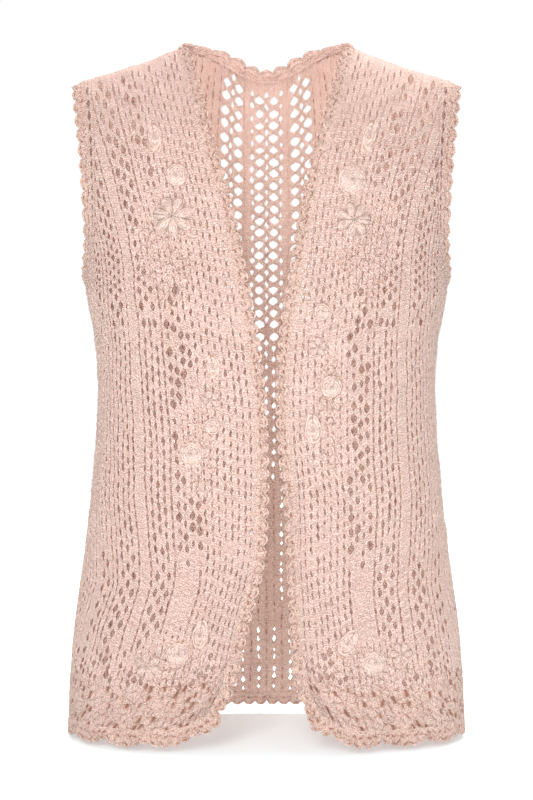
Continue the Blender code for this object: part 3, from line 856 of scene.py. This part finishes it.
def edge_line(points, normals, inside, lean=0.0, ring=False):
    """A panel's edge in steps of about 1 mm, and the smoothed way off the cloth, in the cloth's surface."""
    run = np.append(0, np.cumsum(steps_of(points)))
    places = np.linspace(0, run[-1], int(run[-1]) + 1)
    points, normals = (
        np.stack([np.interp(places, run, values[:, axis]) for axis in range(3)], axis=-1)
        for values in (points, normals)
    )
    ahead = np.gradient(points, axis=0)
    if ring:
        ahead = np.roll(points, -1, axis=0) - np.roll(points, 1, axis=0)
        ahead[0] = ahead[-1] = points[1] - points[-2]
    away = unit(np.cross(ahead, normals))
    middle = len(away) // 2
    if np.dot(away[middle], points[middle] - inside) < 0:
        away = -away
    reach = 5  # points on either side over which the direction is smoothed
    padded = np.pad(away, ((reach, reach), (0, 0)), mode="wrap" if ring else "edge")
    away = unit(sum(padded[k : k + len(away)] for k in range(2 * reach + 1)))
    away = unit(away + np.array((lean, 0, 0)))
    normals = unit(normals - away * np.sum(normals * away, axis=-1, keepdims=True))
    return Line(points, normals, away, run[-1])


def beside(line, flip=1.0):
    """The surface that runs out from an edge: across is the distance from it, along the distance down it."""

    def surface(across, along):
        place = np.clip(along / line.length, 0, 1) * (len(line.points) - 1)
        i = np.minimum(place.astype(int), len(line.points) - 2)
        t = (place - i)[..., None]
        point, normal, away = (
            values[i] * (1 - t) + values[i + 1] * t for values in (line.points, line.normals, line.away)
        )
        return (point + away * across[..., None]) * flip, normal * flip

    return surface


def scallops(along, length, pitch, rise):
    """A row of whole rounded scallops: their height at places along."""
    pitch = length / round(length / pitch)
    return rise * np.abs(np.sin(np.pi * along / pitch)) ** 0.6


def shell_fans(length, pitch, base):
    """The ridges of the stitches that fan out in each shell."""
    pitch = length / round(length / pitch)

    def swell(along, across):
        sideways = (along / pitch % 1 - 0.5) * pitch
        fan = np.arctan2(sideways, across - base + 2.0)
        beyond = np.clip((across - base) / 2, 0, 1)
        return 0.30 * beyond * np.cos(fan * 8) - 0.7 * beyond * (np.abs(sideways) > pitch / 2 - 0.8)

    return swell


def edging(
    name, node, line, width, profile, pitch, seed, flip=1.0, ring=False, rows=(3.6,), taper=(0.0, 14.0),
    cotton=edging_cotton,
):
    """An edging of rounds that end near rows, then shells with a rim, whose outer side is the profile. Each
    round follows the profile a little, with stitch holes between that are dents painted dark as their shade,
    and the edging tapers at its ends."""
    chance = np.random.default_rng(seed)
    along = np.linspace(0, line.length, int(line.length / EDGING_STEP) + 1)
    along = along[:-1] if ring else along
    shut, surface, outer = 0 * along, beside(line, flip), profile(along)
    if not ring:
        ends = np.clip((np.minimum(along, line.length - along) - taper[0]) / (taper[1] - taper[0]), 0, 1)
        least = rows[-1] + LEAST_SHELL + RIM
        outer = least + (outer - least) * (0.15 + 0.85 * ends**2 * (3 - 2 * ends))
        outer = outer * (0.85 + 0.15 * ends)
    swing = SWING * (outer - outer.mean())
    kind = HOLES["edging"]
    dents = []
    for start in range(len(rows) + 1):
        middles = [HOLE_SHIFT * start + kind.pitch * k for k in range(int(line.length / kind.pitch))]
        dents.append(opening(np.array([hole_row(kind, middle, chance) for middle in middles]).T, along)[3])
    lines = [shut - OVERLAP] + [np.maximum(row + swing, 1.0 + 0.4 * k) for k, row in enumerate(rows)]
    lines = lines + [np.maximum(outer - RIM, lines[-1] + 1.0), np.maximum(outer, lines[-1] + 2.0)]
    grooves = [shut - 0.12] + dents + [shut + 0.2]
    open_outside = [shut] * (len(lines) - 1) + [shut + 0.8]
    fans = shell_fans(line.length, pitch, rows[-1])
    rounds = []
    for k in range(len(lines) - 1):
        outside = Side(lines[k + 1], open_outside[k + 1], grooves[k + 1])
        inside = Side(lines[k], shut, grooves[k])
        rounds.append(rib(surface, along, inside, outside, phase=2.0 * k, swell=fans, cloth=(300, 0)))
    piece = join_ribs(name, rounds, cotton, ring=ring)
    area = float(np.mean(outer) + OVERLAP) * line.length
    hang(piece, node, "cotton_edging", ((width + OVERLAP) * MM, line.length * MM), area=area * MM * MM)


def from_side_to_side(half):
    """An edge of the whole back, from half of it."""
    return np.concatenate((half, half[-2::-1] * FLIP))


share = np.linspace(0, 1, 120)
for hand, seed in (("right", 41), ("left", 43)):
    hem = placed(hand, *front_hem(hand, share))
    up_front = fronts[hand].points[::-1, 0], fronts[hand].normals[::-1, 0]
    points, normals = (np.concatenate((along_hem, up[1:-1])) for along_hem, up in zip(hem, up_front))
    line = edge_line(points, normals, form(hand, np.float64(math.radians(45)), np.float64(UNDERARM)))
    hem_length = float(np.sum(steps_of(hem[0])))

    def front_profile(along):
        """Small lobes in clusters along the hem, then single shells up the front edge."""
        lobe = scallops(along, line.length, 9.0, 4.6)
        cluster = 5.6 * np.abs(np.sin(np.pi * along / (hem_length / 4.5))) ** 0.7
        shell = scallops(along, line.length, 12.0, 5.4)
        up_edge = np.clip((along - hem_length + 6) / 12, 0, 1)
        return 6.0 + (cluster + lobe - 0.6) * (1 - up_edge) + shell * up_edge

    edging(f"front_{hand}_edging", f"front_border_{hand}", line, 12.0, front_profile, 12.0, seed)

neck_share = np.linspace(SEAM_SHARE, 1, 80)
points, normals = map(from_side_to_side, placed("back", *back_top(neck_share)))
below_neck = form("back", np.float64(np.pi / 2), np.float64(UNDERARM))
neck_line = edge_line(points, normals, below_neck)
edging(
    "back_neck_edging", "back_neck_border", neck_line, 15.0,
    lambda along: 10.0 + scallops(along, neck_line.length, 19.2, 6.0), 19.2, 51, rows=(2.6, 5.2),
    taper=(20.0, 60.0), cotton=back_edging_cotton,
)

points, normals = map(from_side_to_side, placed("back", np.pi / 2 * share, HEM + 0 * share))
back_hem_line = edge_line(points, normals, below_neck)
edging(
    "back_hem_edging", "back_hem_border", back_hem_line, 12.0,
    lambda along: 7.2 + scallops(along, back_hem_line.length, 11.5, 4.6), 11.5, 53,
    cotton=back_edging_cotton,
)

front_half, back_half = (placed(part, *side_edge(share * UNDERARM_SHARE)) for part in ("left", "back"))
ring_points, ring_normals = (np.concatenate((a, b[-2::-1])) for a, b in zip(front_half, back_half))
below = form("left", np.float64(0.0), np.float64(HEM))
armhole_line = edge_line(ring_points, ring_normals, below, lean=0.3, ring=True)
for hand, flip, seed in (("left", 1.0, 61), ("right", FLIP, 67)):
    edging(
        f"armhole_{hand}_edging", f"armhole_border_{hand}", armhole_line, 11.5,
        lambda along: 7.6 + scallops(along, armhole_line.length, 16.0, 4.4), 16.0, seed, flip, ring=True,
    )

# ---------------- raised flowers
# Small flowers, rosettes, buds and leaves are worked separately in the same cotton and sewn on to the close
# grounds of the fronts, so each stands up from the cloth and domes in its middle.
motif_cotton = crochet_cotton("blush_flower_cotton", "#F9DED2", "#C19A88", rings=0.0, slope=0.0)
Motif = namedtuple("Motif", "name side x height radius lobes stretch tilt", defaults=(1.0, 0))
MOTIFS = [Motif(*row) for row in (
    ("chest_flower", "right", 84, -164, 19, 7, 1.0, 10),
    ("chest_rosette", "right", 81, -127, 11, 0),
    ("chest_leaf", "right", 101, -93, 7, 1, 1.8, 80),
    ("waist_leaf", "right", 48, -299, 7, 1, 1.5, 80),
    ("waist_flower", "right", 50, -329, 9, 5),
    ("waist_bud", "right", 49, -353, 8, 0),
    ("waist_rosette", "right", 68, -378, 12, 0),
    ("hem_flower", "right", 108, -575, 13, 6, 1.0, 20),
    ("hem_rosette", "right", 81, -562, 12, 0),
    ("hem_leaf", "right", 60, -545, 8, 1, 1.6, 100),
    ("chest_flower", "left", 78, -167, 16, 7),
    ("chest_rosette", "left", 77, -131, 14, 0),
    ("chest_leaf", "left", 93, -92, 7, 1, 2.0, 75),
    ("waist_bud", "left", 50, -249, 8, 0),
    ("waist_flower", "left", 46, -281, 9, 5, 1.0, 15),
    ("waist_rosette", "left", 58, -317, 11, 0),
    ("waist_leaf", "left", 42, -356, 8, 1, 1.6, 95),
    ("hem_rosette", "left", 98, -571, 12, 0),
    ("hem_flower", "left", 123, -565, 11, 6),
    ("hem_leaf", "left", 74, -552, 8, 1, 1.5, 60),
)]
MOTIF_LIFT = 1.3  # height of a motif's underside above the middle of the cloth
SPOKES, RINGS = 84, 16  # points round a motif, and from its middle to its edge


def flower_outline(motif, angle):
    """Distance from a motif's middle to its edge: round, in petals, or pointed like a leaf."""
    if motif.lobes == 0:
        return motif.radius * (1 - 0.06 * np.abs(np.sin(4.5 * angle)))
    if motif.lobes == 1:
        round_leaf = motif.radius * motif.stretch / np.hypot(np.cos(angle), motif.stretch * np.sin(angle))
        return round_leaf * (1 + 0.12 * np.abs(np.cos(angle)) ** 6)
    return motif.radius * (0.66 + 0.34 * np.abs(np.cos(motif.lobes * angle / 2)) ** 0.6)


def round_petals(motif, angle, share):
    """Distance in millimetres from the middle of the nearest petal, round which its stitches run."""
    if motif.lobes < 2:
        return share * motif.radius
    turn = (angle + np.pi / motif.lobes) % (2 * np.pi / motif.lobes) - np.pi / motif.lobes
    reach = share * motif.radius
    petal = np.hypot(reach * np.cos(turn) - 0.62 * motif.radius, 1.25 * reach * np.sin(turn))
    return np.where(share < 0.3, reach, petal)


def flower_relief(motif, angle, share):
    """The height of a motif's top above its underside."""
    rim = np.sqrt(np.clip(1 - share**4, 0, 1))
    if motif.lobes == 1:
        sideways = np.abs(np.sin(angle)) * share
        lengthways = share * motif.radius * motif.stretch * np.cos(angle)
        veins = 0.28 * np.cos(2 * np.pi * (lengthways + 3 * sideways) / 3.2)
        return rim * (1.7 + 0.7 * (1 - share**2) - 0.9 * np.exp(-((sideways / 0.12) ** 2)) + veins)
    if motif.lobes == 0:
        turns = motif.radius / 2.6
        coil = np.abs(np.sin(np.pi * (turns * share - angle / (2 * np.pi))))
        petals = 0.3 * np.cos(5 * angle + 6 * share)
        return rim * (1.0 + 1.6 * (1 - share**2) + 1.0 * coil**0.7 + petals * share)
    petal = np.abs(np.cos(motif.lobes * angle / 2)) ** 0.7 * np.sin(np.pi * share**0.8) ** 0.7
    eye = np.exp(-((share / 0.22) ** 4))
    ring = np.exp(-(((share - 0.34) / 0.07) ** 2))
    strands = 0.22 * np.cos(motif.lobes * 5 * angle) * share
    outline = 0.5 * np.exp(-(((share - 0.86) / 0.08) ** 2))
    return rim * (1.2 + 1.3 * petal + 1.6 * eye - 0.6 * ring + strands + outline)


for motif in MOTIFS:
    spokes = np.arange(SPOKES) * 2 * np.pi / SPOKES
    angle, share = np.meshgrid(spokes, np.linspace(0.02, 1, RINGS), indexing="ij")
    layers, heights = [], []
    for relief in (flower_relief(motif, angle, share), np.zeros_like(share)):
        reach = flower_outline(motif, angle) * share
        heading = angle + math.radians(motif.tilt)
        x, height = motif.x + reach * np.cos(heading), motif.height + reach * np.sin(heading)
        points, normals = placed(motif.side, turn_at(x, height), height)
        layers.append(points + normals * (MOTIF_LIFT + relief)[..., None])
        heights.append(relief)
    rings = np.concatenate((layers[0], layers[1][:, ::-1]), axis=1)
    # Painted highlight: a motif's top is painted lighter where its relief stands higher.
    tone = np.concatenate((0.35 + 0.25 * heights[0], 0.3 + heights[1][:, ::-1]), axis=1)
    flat_place = np.stack((angle * motif.radius / 2, round_petals(motif, angle, share)), axis=-1)
    cloth = np.concatenate((flat_place, flat_place[:, ::-1]), axis=1) + 400
    piece = join_ribs(f"{motif.name}_{motif.side}_worked", [(rings, cloth, tone)], motif_cotton, ring=True)
    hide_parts(f"{motif.name}_{motif.side}")
